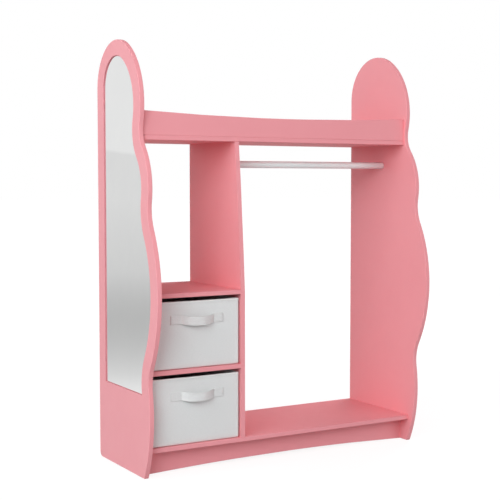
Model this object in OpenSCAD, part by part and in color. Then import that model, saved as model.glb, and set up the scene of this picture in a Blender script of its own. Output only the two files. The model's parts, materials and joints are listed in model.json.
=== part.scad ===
// Children's dress-up storage unit: wavy side panels, a mirror let into the left one,
// a hanging bay, a tray on top and two fabric bins. Millimetres, +Z up.
// The origin is on the floor, under the middle of the unit.

/* [Unit] */
// Overall width over both side panels
unit_w = 836; // [760:1:920]
// Overall height, at the top of the arches
unit_h = 1099; // [1060:1:1140]
// Thickness of the painted boards
board_t = 12; // [11:0.5:16]

/* [Side panel outline] */
// Height of the middle of the foot lobe
foot_z = 153; // [140:1:165]
// Depth of the panel at the foot lobe
foot_depth = 313.5; // [305:0.5:325]
// Radius of the foot lobe
foot_r = 364; // [330:1:400]
// Height of the middle of the hip lobe
hip_z = 454; // [440:1:470]
// Depth of the panel at the hip lobe, the deepest place
hip_depth = 360.5; // [350:0.5:380]
// Radius of the hip lobe
hip_r = 359; // [330:1:380]
// Distance from the overall height down to the middle of the shoulder lobe
shoulder_drop = 378; // [364:1:394]
// Depth of the panel at the shoulder lobe
shoulder_depth = 311; // [300:0.5:325]
// Radius of the shoulder lobe
shoulder_r = 160; // [145:1:180]
// Depth of the panel at the crown
crown_depth = 267.5; // [258:0.5:280]
// Radius of the front of the crown
crown_r = 178.5; // [170:0.5:190]
// Radius of the arch over the top and down to the rear edge
arch_r = 119; // [110:1:125]
// Radius of the two lower waists
waist_r = 108; // [90:1:130]
// Radius of the waist under the crown
neck_r = 71; // [60:1:85]
// Radius of the rear bottom corner
heel_r = 15; // [5:1:25]

/* [Shelves and rails] */
// Height of the underside of the bottom shelf
plinth_h = 62; // [50:1:80]
// Clear height of each bin bay
bin_bay_h = 181; // [160:1:200]
// Clear width of the bin bays
bin_bay_w = 262; // [240:1:290]
// Depth of the bottom shelf and the two bin shelves
shelf_depth = 286; // [276:1:300]
// Distance from the overall height down to the underside of the top shelf
top_shelf_drop = 258; // [239:1:299]
// Depth of the top shelf
top_shelf_depth = 254; // [235:1:265]
// Height of the tray rails at their ends
rail_end_h = 61; // [50:1:75]
// How far the top of the tray's front rail dips at its middle
rail_dip = 10.5; // [2:0.5:20]
// Height of the tray's back rail
back_rail_h = 50; // [40:1:60]
// How far the front rail stands behind the top shelf's front
rail_inset = 1; // [0:0.5:5]
// How far the toe kick stands behind the bottom shelf's front
toe_kick_setback = 38; // [25:1:60]
// Rise of the arch under the toe kick
toe_kick_rise = 10; // [5:0.5:20]
// How far the slanting front of the divider bows out
divider_bow = 2.5; // [0.5:0.5:6]

/* [Bin bay back] */
// Thickness of the hardboard behind the bins
back_t = 3; // [2.5:0.5:5]
// Distance of the hardboard from the rear of the unit
back_inset = 8; // [5:1:15]
// Depth of the grooves that hold the hardboard
groove_depth = 4; // [3:0.5:6]
// Play of the hardboard in its grooves
groove_play = 0.2; // [0.1:0.05:0.4]

/* [Mirror] */
// Width of the painted border round the mirror
mirror_border = 40; // [30:1:50]
// Height of the mirror's straight bottom edge
mirror_bottom = 208.5; // [190:0.5:240]
// Depth of the recess for the mirror
mirror_recess = 5; // [4:0.5:6]
// Thickness of the mirror sheet
mirror_t = 1.5; // [1:0.5:2]
// Gap round the mirror in its recess
mirror_gap = 0.7; // [0.5:0.1:1.5]
// Thickness of the adhesive pads behind the mirror
pad_t = 0.5; // [0.5:0.1:1]
// Width of an adhesive pad
pad_w = 24; // [15:1:40]
// Length of an adhesive pad
pad_l = 150; // [80:5:180]
// Distance between the two columns of pads
pad_spread = 110; // [80:5:120]
// Number of rows of adhesive pads
pad_rows = 4; // [2:1:4]
// Height of the lowest adhesive pads over the mirror's bottom edge
pad_lift = 30; // [15:5:60]
// Distance from the top of the mirror's recess down to the highest adhesive pads
pad_drop = 70.5; // [60:0.5:100]

/* [Hanging rod] */
// Diameter of the rod
rod_d = 19; // [16:0.5:25]
// Distance from the top shelf's underside to the rod's axis
rod_drop = 57; // [40:1:90]
// Distance from the rear of the unit to the rod's axis
rod_back = 153; // [120:1:180]
// Depth of the blind sockets for the rod's ends
rod_socket = 7; // [5:0.5:9]
// Play of the rod in its sockets
rod_play = 0.2; // [0.1:0.05:0.4]

/* [Fabric bins] */
// Gap at each side of a bin
bin_side_gap = 3; // [2:0.5:8]
// Gap over a bin
bin_head_gap = 9.5; // [6:0.5:20]
// Gap behind a bin
bin_rear_gap = 4; // [2:0.5:15]
// How far the bins' fronts stand behind the shelves' fronts
bin_front_inset = 6; // [3:0.5:10]
// Thickness of a bin's wall, cloth and board together
bin_wall = 4; // [3.6:0.2:6]
// Thickness of the stiffening boards in a bin's walls
stiffener_t = 2; // [1.5:0.1:2.2]
// Thickness of the cloth under a bin
bin_cloth_t = 1.2; // [0.8:0.1:2]
// Height of the sewn hem at a bin's top
bin_hem = 10; // [6:1:20]
// Thickness of the loose board on a bin's floor
base_board_t = 3; // [2:0.5:4]
// Play of the loose board against the walls
base_board_play = 1; // [0.5:0.25:2]

/* [Strap handles] */
// Length of a handle from end to end
strap_l = 150; // [120:1:170]
// Width of the strap
strap_w = 23; // [18:1:30]
// Thickness of the strap
strap_t = 2; // [1.5:0.25:3]
// Length of each sewn end
strap_patch = 28; // [20:1:35]
// How far the loop stands out from the bin's front
strap_bow = 17; // [14:1:24]
// Height of the strap's middle line over the bin's bottom
strap_z = 124.5; // [90:0.5:140]
// How far a strap's middle lies right of the bin's middle
strap_shift = 5.5; // [-10:0.5:10]

/* [Fasteners] */
// Diameter of a cam nut
cam_d = 12; // [11:0.5:13]
// Height of a cam nut
cam_h = 9.4; // [9:0.1:9.8]
// Distance from a board's end to the middle of its cam nut
cam_reach = 24; // [20:1:30]
// Distance from a board's long edge to its cam nuts
cam_edge = 56; // [45:1:70]
// Diameter of a cam bolt's thread
bolt_thread_d = 5; // [4:0.25:5.5]
// Depth of a cam bolt in its panel
bolt_bite = 5.8; // [5:0.1:5.9]
// Diameter of a cam bolt's shank
bolt_shank_d = 4; // [3:0.25:4.5]
// Diameter of a cam bolt's head
bolt_head_d = 5; // [4.6:0.1:5.4]
// Diameter of a dowel
dowel_d = 6; // [5:0.5:7]
// Length of a dowel
dowel_l = 24; // [20:1:28]
// Distance from a board's long edge to its dowels
dowel_edge = 25; // [18:1:35]
// Distance from a side panel to the upright dowels of the rails
rail_dowel_reach = 150; // [100:5:250]
// Distance from the top shelf's long edges to the divider's dowels
divider_dowel_edge = 70; // [60:1:90]
// Distance from the top shelf's long edges to the divider's screws
divider_screw_edge = 40; // [30:1:50]
// Depth of the blind holes in a panel's face
panel_hole = 6; // [6:0.1:6.5]
// Play round bolts, cams and dowels
hole_play = 0.15; // [0.1:0.05:0.3]
// Diameter of a divider screw
screw_d = 5; // [4:0.25:5.5]
// Length of a divider screw
screw_l = 50; // [40:1:60]
// Diameter of a divider screw's head
screw_head_d = 9; // [8:0.5:11]

/* [Hidden] */
$fn = 48;

paint = [0.92, 0.56, 0.6];
cloth = [0.82, 0.82, 0.82];
over = 1;                // how far a cut runs past the face it opens
seat = 0.3;              // gap under a bin, and behind the middle shelf
arc_step = 2.5;          // degrees from one point of an outline's arc to the next

// The boards' places: x from the left panel's outer face, z from the floor.
// A distance named back or depth is counted forward from the unit's rear plane.
left_x = board_t;
right_x = unit_w - board_t;
divider_x = left_x + bin_bay_w;
bottom_shelf_top = plinth_h + board_t;
middle_shelf_z = bottom_shelf_top + bin_bay_h;
bin_top_shelf_z = middle_shelf_z + board_t + bin_bay_h;
top_shelf_z = unit_h - top_shelf_drop;
top_shelf_top = top_shelf_z + board_t;
back_face = back_inset + back_t;
middle_shelf_back = back_face + seat;
rail_back = top_shelf_depth - rail_inset - board_t;
toe_kick_back = shelf_depth - toe_kick_setback - board_t;
rod_z = top_shelf_z - rod_drop;

// ---------- outline of the side panels ----------

// A lobe or waist is [centre, radius]; its centre is [distance from the rear, height].
function lobe(z, depth, r) = [[depth - r, z], r];
// The waist of radius r that rolls from lobe a up to lobe b, on their outer side
function waist(a, b, r) =
    let (
        run = b[0] - a[0],
        gap = norm(run),
        ra = a[1] + r,
        rb = b[1] + r,
        along = (ra * ra - rb * rb + gap * gap) / (2 * gap),
        out = sqrt(ra * ra - along * along),
        dir = run / gap
    )
    [a[0] + along * dir + out * [dir[1], -dir[0]], r];
function heading(from, to) = atan2(to[1] - from[1], to[0] - from[0]);
// Points of an arc round c from angle a0 to angle a1
function arc(c, r, a0, a1) =
    let (n = max(2, ceil(abs(a1 - a0) / arc_step)))
    [for (i = [0:n]) c + r * [cos(a0 + (a1 - a0) * i / n), sin(a0 + (a1 - a0) * i / n)]];
function tail(points) = [for (i = [1:len(points) - 1]) points[i]];
// The same with a point at angle peak, its outermost place, where the arc passes through it
function peaked_arc(c, r, a0, peak, a1) =
    (peak - a0) * (a1 - peak) > 0
        ? concat(arc(c, r, a0, peak), tail(arc(c, r, peak, a1)))
        : arc(c, r, a0, a1);
function whole_turn(a) = a < 0 ? a + 360 : a;

foot = lobe(foot_z, foot_depth, foot_r);
hip = lobe(hip_z, hip_depth, hip_r);
shoulder = lobe(unit_h - shoulder_drop, shoulder_depth, shoulder_r);
// The arch touches the rear edge and the overall height, and the crown rolls into it.
arch_c = [arch_r, unit_h - arch_r];
crown_back = crown_depth - crown_r;
crown_drop = sqrt(pow(crown_r - arch_r, 2) - pow(arch_r - crown_back, 2));
crown = [[crown_back, arch_c[1] - crown_drop], crown_r];
low_waist = waist(foot, hip, waist_r);
mid_waist = waist(hip, shoulder, waist_r);
neck_waist = waist(shoulder, crown, neck_r);
lobes = [foot, hip, shoulder, crown];
waists = [low_waist, mid_waist, neck_waist];

// The panel's outline, drawn in by inset all round, from the floor line up the front,
// over the arch and down the rear edge
function panel_outline(inset = 0, heel = heel_r) =
    let (
        start = asin((0 - foot_z) / (foot_r - inset)),
        over_top = heading(crown[0], arch_c)
    )
    concat(
        [for (i = [0:3])
            let (
                c = lobes[i][0],
                a0 = i == 0 ? start : heading(c, waists[i - 1][0]),
                a1 = i == 3 ? over_top : heading(c, waists[i][0])
            )
            each concat(
                peaked_arc(c, lobes[i][1] - inset, a0, 0, a1),
                i == 3 ? [] : waist_arc(waists[i], lobes[i], lobes[i + 1], inset)
            )],
        tail(peaked_arc(arch_c, arch_r - inset, over_top, 90, 180)),
        heel > 0 ? arc([heel, heel], heel, 180, 270) : [[inset, 0]]
    );
// A waist's own arc, without the two ends that it shares with its lobes
function waist_arc(w, below, above, inset) =
    let (
        a0 = whole_turn(heading(w[0], below[0])),
        a1 = whole_turn(heading(w[0], above[0])),
        pts = arc(w[0], w[1] + inset, a0, a1)
    )
    [for (i = [1:len(pts) - 2]) pts[i]];

// Points of a shallow arc from [x0, y] to [x1, y] that rises by rise at its middle
function bow_points(x0, x1, y, rise) =
    let (
        half = (x1 - x0) / 2,
        r = (half * half + rise * rise) / (2 * rise),
        n = 24
    )
    [for (i = [0:n])
        let (x = -half + 2 * half * i / n)
        [x0 + half + x, y + sqrt(r * r - x * x) - (r - rise)]];

// ---------- placing ----------

// The unit's frame: x from the left outer face, y = 0 on the rear plane, front at -y
module place() translate([-unit_w / 2, hip_depth / 2, 0]) children();
// Stands a drawing of [distance from the rear, height] up as a board from x on
module upright(x, t) translate([x + t, 0, 0]) rotate([90, 0, -90]) linear_extrude(t) children();
// A board that lies flat, from x0 to x1 and from back to depth
module flat_board(x0, x1, back, depth, z, t = board_t)
    translate([x0, -depth, z]) cube([x1 - x0, depth - back, t]);
// Stands a drawing of [x, height] up as a board whose rear face is at distance back
module rail(back, t = board_t) translate([0, -back, 0]) rotate([90, 0, 0]) linear_extrude(t) children();

// ---------- cam joints and dowels ----------

// A joint is [place, end, turn]: end 0 is a board's left end and 1 its right end, and turn
// is how far the cam's open side is turned about x from straight up.
UP = 0;
DOWN = 180;
REARWARD = -90;
FORWARD = 90;
module at_joint(j) translate(j[0]) mirror([j[1], 0, 0]) rotate([j[2], 0, 0]) children();
function end_x(end, x0, x1) = end == 0 ? x0 : x1;
function edge_rows(back, depth, edge) = [back + edge, depth - edge];
function shelf_joints(x0, x1, back, depth, z, edge, turn) =
    [for (end = [0, 1], d = edge_rows(back, depth, edge))
        [[end_x(end, x0, x1), -d, z + board_t / 2], end, turn]];
function rail_joints(back, z, turn) =
    [for (end = [0, 1]) [[end_x(end, left_x, right_x), -(back + board_t / 2), z], end, turn]];

top_cams = shelf_joints(left_x, right_x, 0, top_shelf_depth, top_shelf_z, cam_edge, UP);
top_dowels = shelf_joints(left_x, right_x, 0, top_shelf_depth, top_shelf_z, dowel_edge, UP);
bottom_cams = shelf_joints(left_x, right_x, 0, shelf_depth, plinth_h, cam_edge, DOWN);
bottom_dowels = shelf_joints(left_x, right_x, 0, shelf_depth, plinth_h, dowel_edge, DOWN);
bin_top_cams = shelf_joints(left_x, divider_x, 0, shelf_depth, bin_top_shelf_z, cam_edge, DOWN);
bin_top_dowels = shelf_joints(left_x, divider_x, 0, shelf_depth, bin_top_shelf_z, dowel_edge, DOWN);
middle_cams =
    shelf_joints(left_x, divider_x, middle_shelf_back, shelf_depth, middle_shelf_z, cam_edge, DOWN);
middle_dowels =
    shelf_joints(left_x, divider_x, middle_shelf_back, shelf_depth, middle_shelf_z, dowel_edge, DOWN);
tray_cam_z = top_shelf_top + back_rail_h / 2;
front_rail_cams = rail_joints(rail_back, tray_cam_z, REARWARD);
back_rail_cams = rail_joints(0, tray_cam_z, FORWARD);
toe_kick_cams = rail_joints(toe_kick_back, plinth_h / 2, REARWARD);
rear_plinth_cams = rail_joints(0, plinth_h / 2, FORWARD);
tray_cams = concat(front_rail_cams, back_rail_cams);
plinth_cams = concat(toe_kick_cams, rear_plinth_cams);
left_panel_cams = concat(top_cams, bottom_cams, bin_top_cams, middle_cams, tray_cams, plinth_cams);
left_panel_dowels = concat(top_dowels, bottom_dowels, bin_top_dowels, middle_dowels);
right_panel_cams = concat(top_cams, bottom_cams, tray_cams, plinth_cams);
right_panel_dowels = concat(top_dowels, bottom_dowels);

// Upright dowels stand between a rail and its shelf: [x, distance of the rail's middle], height
standing_x = [left_x + rail_dowel_reach, right_x - rail_dowel_reach];
tray_dowels = [for (x = standing_x, b = [rail_back, 0]) [x, -(b + board_t / 2), top_shelf_top]];
plinth_dowel_places = [for (x = standing_x, b = [toe_kick_back, 0]) [x, -(b + board_t / 2), plinth_h]];
divider_mid_x = divider_x + board_t / 2;
divider_dowel_places = [
    for (z = [bottom_shelf_top, top_shelf_z], d = edge_rows(0, top_shelf_depth, divider_dowel_edge))
        [divider_mid_x, -d, z]
];
divider_screw_rows = edge_rows(0, top_shelf_depth, divider_screw_edge);

// One end of a rod-like part lies in a face's blind hole, the rest in the other board's end.
dowel_bite = panel_hole - 0.2;
dowel_hole = dowel_l - dowel_bite + 0.5;
cam_pocket = cam_h + 0.2;
bolt_bore_d = bolt_head_d + 1;
module end_rod(bite, l, d) rotate([0, 90, 0]) translate([0, 0, -bite]) cylinder(d = d, h = l);
module cam_bolt() {
    head_l = 2.4;
    end_rod(bolt_bite, bolt_bite, bolt_thread_d);
    end_rod(over / 2, cam_reach + over / 2, bolt_shank_d);
    translate([cam_reach, 0, 0]) end_rod(head_l / 2, head_l, bolt_head_d);
}
module cam_nut() difference() {
    slot_w = 1.4;
    slot_l = 7;
    slot_depth = 1.6;
    top = board_t / 2;
    translate([cam_reach, 0, top - cam_h]) cylinder(d = cam_d - 2 * hole_play, h = cam_h);
    end_rod(0, cam_reach + 2, bolt_bore_d);
    for (turn = [0, 90])
        translate([cam_reach, 0, top]) rotate(turn)
            cube([slot_l, slot_w, 2 * slot_depth], center = true);
}
module panel_cuts(cams, dowels, end) {
    for (j = cams) if (j[1] == end)
        at_joint(j) end_rod(panel_hole, panel_hole + over, bolt_thread_d + 2 * hole_play);
    for (j = dowels) if (j[1] == end)
        at_joint(j) end_rod(panel_hole, panel_hole + over, dowel_d + 2 * hole_play);
}
module board_cuts(cams, dowels = []) {
    for (j = cams) at_joint(j) {
        end_rod(over, cam_reach + over + 2, bolt_bore_d);
        translate([cam_reach, 0, board_t / 2 - cam_pocket]) cylinder(d = cam_d, h = cam_pocket + over);
    }
    for (j = dowels) at_joint(j) end_rod(over, dowel_hole + over, dowel_d + 2 * hole_play);
}
module cam_bolts(joints) for (j = joints) at_joint(j) cam_bolt();
module cam_nuts(joints) for (j = joints) at_joint(j) cam_nut();
module dowels(joints) for (j = joints) at_joint(j) end_rod(dowel_bite, dowel_l, dowel_d);
// Upright dowels and their holes; flip is 1 where the short end points up
module standing(p, flip) translate(p) mirror([0, 0, flip]) children();
module standing_dowel() translate([0, 0, -dowel_bite]) cylinder(d = dowel_d, h = dowel_l);
module standing_hole() translate([0, 0, -panel_hole])
    cylinder(d = dowel_d + 2 * hole_play, h = panel_hole + dowel_hole);

// A countersunk screw down through a shelf into the divider's edge
module divider_screw(grow = 0) {
    head_h = 4;
    cylinder(d1 = screw_head_d + 2 * grow, d2 = screw_d + 2 * grow, h = head_h);
    cylinder(d = screw_d + 2 * grow, h = screw_l + grow);
}
module at_divider_top() for (d = divider_screw_rows)
    translate([divider_mid_x, -d, top_shelf_top]) mirror([0, 0, 1]) children();
module at_divider_bottom() for (d = divider_screw_rows)
    translate([divider_mid_x, -d, plinth_h]) children();

// ---------- boards ----------

module wavy_board(x) upright(x, board_t) polygon(panel_outline());
module mirror_shape(x, t, inset) intersection() {
    upright(x, t) polygon(panel_outline(inset, 0));
    translate([x - over, -hip_depth, mirror_bottom + inset - mirror_border])
        cube([t + 2 * over, hip_depth, unit_h]);
}
// The groove that the hardboard slides in, cut groove_depth past the bay all round
module back_groove() flat_board(
    left_x - groove_depth, divider_x + groove_depth,
    back_inset - groove_play, back_face + groove_play,
    bottom_shelf_top - groove_depth, bin_top_shelf_z - bottom_shelf_top + 2 * groove_depth
);
module rod_bore(x, side) translate([x, -rod_back, rod_z]) rotate([0, side * 90, 0])
    translate([0, 0, -over]) cylinder(d = rod_d + 2 * rod_play, h = rod_socket + over);

module left_side_panel() color(paint) place() difference() {
    wavy_board(0);
    mirror_shape(-over, mirror_recess + over, mirror_border);
    panel_cuts(left_panel_cams, left_panel_dowels, 0);
    back_groove();
}
module right_side_panel() color(paint) place() difference() {
    wavy_board(right_x);
    panel_cuts(right_panel_cams, right_panel_dowels, 1);
    rod_bore(right_x, 1);
}
module divider_panel() color(paint) place() difference() {
    upright(divider_x, board_t) polygon(concat(
        [[0, top_shelf_z], [0, bottom_shelf_top], [shelf_depth, bottom_shelf_top]],
        divider_slant()
    ));
    panel_cuts(concat(bin_top_cams, middle_cams), concat(bin_top_dowels, middle_dowels), 1);
    back_groove();
    rod_bore(divider_x + board_t, -1);
    for (p = divider_dowel_places) standing(p, p[2] > bottom_shelf_top ? 1 : 0) standing_hole();
    at_divider_top() divider_screw(hole_play);
    at_divider_bottom() divider_screw(hole_play);
}
// The divider's front above the bin shelves: a slanting line that bows out a little
function divider_slant() =
    let (
        low = [shelf_depth, bin_top_shelf_z],
        high = [top_shelf_depth, top_shelf_z],
        run = high - low,
        len = norm(run),
        out = [run[1], -run[0]] / len
    )
    [for (p = bow_points(0, len, 0, divider_bow)) low + run * p[0] / len + out * p[1]];

module top_shelf() color(paint) place() difference() {
    flat_board(left_x, right_x, 0, top_shelf_depth, top_shelf_z);
    board_cuts(top_cams, top_dowels);
    for (p = concat(tray_dowels, divider_dowel_places))
        if (p[2] > plinth_h + board_t) standing(p, p[2] == top_shelf_z ? 1 : 0) standing_hole();
    at_divider_top() divider_screw(hole_play);
}
module top_front_rail() color(paint) place() difference() {
    rail(rail_back) polygon(concat(
        [[right_x, top_shelf_top], [left_x, top_shelf_top]],
        [for (p = bow_points(left_x, right_x, 0, rail_dip))
            [p[0], top_shelf_top + rail_end_h - p[1]]]
    ));
    board_cuts(front_rail_cams);
    for (p = tray_dowels) standing(p, 0) standing_hole();
}
module top_back_rail() color(paint) place() difference() {
    rail(0) translate([left_x, top_shelf_top]) square([right_x - left_x, back_rail_h]);
    board_cuts(back_rail_cams);
    for (p = tray_dowels) standing(p, 0) standing_hole();
}
module bin_top_shelf() color(paint) place() difference() {
    flat_board(left_x, divider_x, 0, shelf_depth, bin_top_shelf_z);
    board_cuts(bin_top_cams, bin_top_dowels);
    back_groove();
}
module bin_middle_shelf() color(paint) place() difference() {
    flat_board(left_x, divider_x, middle_shelf_back, shelf_depth, middle_shelf_z);
    board_cuts(middle_cams, middle_dowels);
}
module bottom_shelf() color(paint) place() difference() {
    flat_board(left_x, right_x, 0, shelf_depth, plinth_h);
    board_cuts(bottom_cams, bottom_dowels);
    back_groove();
    for (p = plinth_dowel_places) standing(p, 1) standing_hole();
    for (p = divider_dowel_places) if (p[2] == bottom_shelf_top) standing(p, 0) standing_hole();
    at_divider_bottom() divider_screw(hole_play);
}
module toe_kick() color(paint) place() difference() {
    rail(toe_kick_back) polygon(concat(
        [[right_x, plinth_h], [left_x, plinth_h]],
        bow_points(left_x, right_x, 0, toe_kick_rise)
    ));
    board_cuts(toe_kick_cams);
    for (p = plinth_dowel_places) standing(p, 1) standing_hole();
}
module rear_plinth_rail() color(paint) place() difference() {
    rail(0) translate([left_x, 0]) square([right_x - left_x, plinth_h]);
    board_cuts(rear_plinth_cams);
    for (p = plinth_dowel_places) standing(p, 1) standing_hole();
}
module bin_back_panel() color(paint) place() flat_board(
    left_x - groove_depth + groove_play, divider_x + groove_depth - groove_play,
    back_inset, back_face,
    bottom_shelf_top - groove_depth,
    bin_top_shelf_z - bottom_shelf_top + 2 * groove_depth - groove_play
);

// ---------- mirror and rod ----------

module mirror_sheet() color("gainsboro") place()
    mirror_shape(mirror_recess - pad_t - mirror_t, mirror_t, mirror_border + mirror_gap);
// Rows of pads share the height between the lowest and the highest one
module mirror_pads() color("white") place() {
    lowest = mirror_bottom + pad_lift;
    highest = unit_h - mirror_border - pad_drop - pad_l;
    for (row = [0:pad_rows - 1], side = [-1, 1])
        translate([
            mirror_recess - pad_t,
            -arch_r - side * pad_spread / 2 - pad_w / 2,
            lowest + (highest - lowest) * row / (pad_rows - 1)
        ]) cube([pad_t, pad_w, pad_l]);
}
module hanging_rod() color("white") place()
    translate([divider_x + board_t - rod_socket, -rod_back, rod_z]) rotate([0, 90, 0])
        cylinder(d = rod_d, h = right_x - divider_x - board_t + 2 * rod_socket, $fn = 64);

// ---------- fabric bins ----------

bin_x = left_x + bin_side_gap;
bin_w = bin_bay_w - 2 * bin_side_gap;
bin_back = back_face + bin_rear_gap;
bin_front = shelf_depth - bin_front_inset;
bin_d = bin_front - bin_back;
bin_h = bin_bay_h - bin_head_gap - seat;
stiffener_play = 0.15;
corner_clear = bin_wall + 2;     // the stiffeners stop this far from a bin's corners
upper_bin_z = middle_shelf_z + board_t + seat;
lower_bin_z = bottom_shelf_top + seat;

// The four stiffening boards of a bin's walls, or with play the sleeves they lie in
module stiffeners(z, play = 0) {
    t = stiffener_t + 2 * play;
    h = bin_h - bin_hem - bin_cloth_t + (play > 0 ? bin_cloth_t + over : 0);
    z0 = z + bin_cloth_t - (play > 0 ? bin_cloth_t + over : 0);
    wide = bin_w - 2 * corner_clear + 2 * play;
    deep = bin_d - 2 * corner_clear + 2 * play;
    for (y = [-bin_front + bin_wall / 2, -bin_back - bin_wall / 2])
        translate([bin_x + bin_w / 2, y, z0 + h / 2]) cube([wide, t, h], center = true);
    for (x = [bin_x + bin_wall / 2, bin_x + bin_w - bin_wall / 2])
        translate([x, -bin_back - bin_d / 2, z0 + h / 2]) cube([t, deep, h], center = true);
}
module bin_fabric(z) color(cloth) place() difference() {
    translate([bin_x, -bin_front, z]) cube([bin_w, bin_d, bin_h]);
    translate([bin_x + bin_wall, -bin_front + bin_wall, z + bin_cloth_t])
        cube([bin_w - 2 * bin_wall, bin_d - 2 * bin_wall, bin_h]);
    stiffeners(z, stiffener_play);
}
module bin_stiffeners(z) color("tan") place() stiffeners(z);
module bin_base_board(z) color("tan") place()
    translate([
        bin_x + bin_wall + base_board_play,
        -bin_front + bin_wall + base_board_play,
        z + bin_cloth_t
    ]) cube([
        bin_w - 2 * bin_wall - 2 * base_board_play,
        bin_d - 2 * bin_wall - 2 * base_board_play,
        base_board_t
    ]);
// A strap sewn down at both ends, whose middle stands out in a soft loop
module bin_handle(z) color(cloth) place() {
    half = strap_l / 2;
    loop = strap_l - 2 * strap_patch;
    n = 24;
    swell = [for (i = [0:n]) [-loop / 2 + loop * i / n, strap_bow * (1 - cos(360 * i / n)) / 2]];
    inner = concat([[-half, 0]], swell, [[half, 0]]);
    outer = [for (i = [len(inner) - 1:-1:0]) inner[i] + [0, strap_t]];
    translate([bin_x + bin_w / 2 + strap_shift, -bin_front, z + strap_z - strap_w / 2])
        linear_extrude(strap_w) mirror([0, 1]) polygon(concat(inner, outer));
}

module upper_bin_fabric() bin_fabric(upper_bin_z);
module upper_bin_stiffeners() bin_stiffeners(upper_bin_z);
module upper_bin_base_board() bin_base_board(upper_bin_z);
module upper_bin_handle() bin_handle(upper_bin_z);
module lower_bin_fabric() bin_fabric(lower_bin_z);
module lower_bin_stiffeners() bin_stiffeners(lower_bin_z);
module lower_bin_base_board() bin_base_board(lower_bin_z);
module lower_bin_handle() bin_handle(lower_bin_z);

// ---------- fasteners ----------

module steel_bolts(joints) color("silver") place() cam_bolts(joints);
module zinc_cams(joints) color("darkgray") place() cam_nuts(joints);
module beech_dowels(joints) color("burlywood") place() dowels(joints);
module top_shelf_cam_bolts() steel_bolts(top_cams);
module top_shelf_cam_nuts() zinc_cams(top_cams);
module top_shelf_dowels() beech_dowels(top_dowels);
module bottom_shelf_cam_bolts() steel_bolts(bottom_cams);
module bottom_shelf_cam_nuts() zinc_cams(bottom_cams);
module bottom_shelf_dowels() beech_dowels(bottom_dowels);
module bin_top_shelf_cam_bolts() steel_bolts(bin_top_cams);
module bin_top_shelf_cam_nuts() zinc_cams(bin_top_cams);
module bin_top_shelf_dowels() beech_dowels(bin_top_dowels);
module bin_middle_shelf_cam_bolts() steel_bolts(middle_cams);
module bin_middle_shelf_cam_nuts() zinc_cams(middle_cams);
module bin_middle_shelf_dowels() beech_dowels(middle_dowels);
module tray_rail_cam_bolts() steel_bolts(tray_cams);
module tray_rail_cam_nuts() zinc_cams(tray_cams);
module tray_rail_dowels() color("burlywood") place()
    for (p = tray_dowels) standing(p, 0) standing_dowel();
module plinth_cam_bolts() steel_bolts(plinth_cams);
module plinth_cam_nuts() zinc_cams(plinth_cams);
module plinth_dowels() color("burlywood") place()
    for (p = plinth_dowel_places) standing(p, 1) standing_dowel();
module divider_top_screws() color("silver") place() at_divider_top() divider_screw();
module divider_bottom_screws() color("silver") place() at_divider_bottom() divider_screw();
module divider_dowels() color("burlywood") place()
    for (p = divider_dowel_places) standing(p, p[2] > bottom_shelf_top ? 1 : 0) standing_dowel();

left_side_panel();
right_side_panel();
divider_panel();
top_shelf();
top_front_rail();
top_back_rail();
bin_top_shelf();
bin_middle_shelf();
bottom_shelf();
toe_kick();
rear_plinth_rail();
bin_back_panel();
mirror_sheet();
mirror_pads();
hanging_rod();
upper_bin_fabric();
upper_bin_stiffeners();
upper_bin_base_board();
upper_bin_handle();
lower_bin_fabric();
lower_bin_stiffeners();
lower_bin_base_board();
lower_bin_handle();
top_shelf_cam_bolts();
top_shelf_cam_nuts();
top_shelf_dowels();
bottom_shelf_cam_bolts();
bottom_shelf_cam_nuts();
bottom_shelf_dowels();
bin_top_shelf_cam_bolts();
bin_top_shelf_cam_nuts();
bin_top_shelf_dowels();
bin_middle_shelf_cam_bolts();
bin_middle_shelf_cam_nuts();
bin_middle_shelf_dowels();
tray_rail_cam_bolts();
tray_rail_cam_nuts();
tray_rail_dowels();
plinth_cam_bolts();
plinth_cam_nuts();
plinth_dowels();
divider_top_screws();
divider_bottom_screws();
divider_dowels();
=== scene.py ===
"""Children's dress-up storage unit: painted boards, a side mirror, a rod and two fabric bins."""

import json
import math

import bmesh
import bpy
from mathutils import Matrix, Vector, noise


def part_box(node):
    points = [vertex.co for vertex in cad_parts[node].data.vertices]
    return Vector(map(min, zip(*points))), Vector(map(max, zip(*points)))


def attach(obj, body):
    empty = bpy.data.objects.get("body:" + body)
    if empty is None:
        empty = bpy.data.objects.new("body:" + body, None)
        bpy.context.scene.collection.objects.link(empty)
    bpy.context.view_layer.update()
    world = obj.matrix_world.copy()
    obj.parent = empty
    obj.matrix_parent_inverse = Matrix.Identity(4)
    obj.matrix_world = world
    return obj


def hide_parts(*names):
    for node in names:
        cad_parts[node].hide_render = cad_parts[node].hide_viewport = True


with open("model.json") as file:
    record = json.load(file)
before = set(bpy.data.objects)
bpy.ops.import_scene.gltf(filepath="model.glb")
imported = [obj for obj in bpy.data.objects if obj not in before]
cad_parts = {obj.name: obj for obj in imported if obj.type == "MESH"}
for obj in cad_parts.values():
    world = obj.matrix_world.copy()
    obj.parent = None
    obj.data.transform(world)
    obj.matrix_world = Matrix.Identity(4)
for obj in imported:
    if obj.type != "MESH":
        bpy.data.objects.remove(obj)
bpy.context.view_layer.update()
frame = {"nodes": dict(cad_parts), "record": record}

MM = 0.001


# ---------- shader building blocks ----------


def place(tree, kind, values=None, **settings):
    """Adds a shader node; values are numbers or sockets for its inputs, by name or number."""
    made = tree.nodes.new("ShaderNode" + kind)
    for name, value in settings.items():
        setattr(made, name, value)
    for key, value in (values or {}).items():
        feed(tree, made.inputs[key], value)
    return made


def feed(tree, socket, value):
    """Links the input to another socket, or sets it to a plain value."""
    if isinstance(value, bpy.types.NodeSocket):
        tree.links.new(value, socket)
    else:
        socket.default_value = value


def math_of(tree, operation, *values):
    return place(tree, "Math", dict(enumerate(values)), operation=operation).outputs[0]


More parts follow.
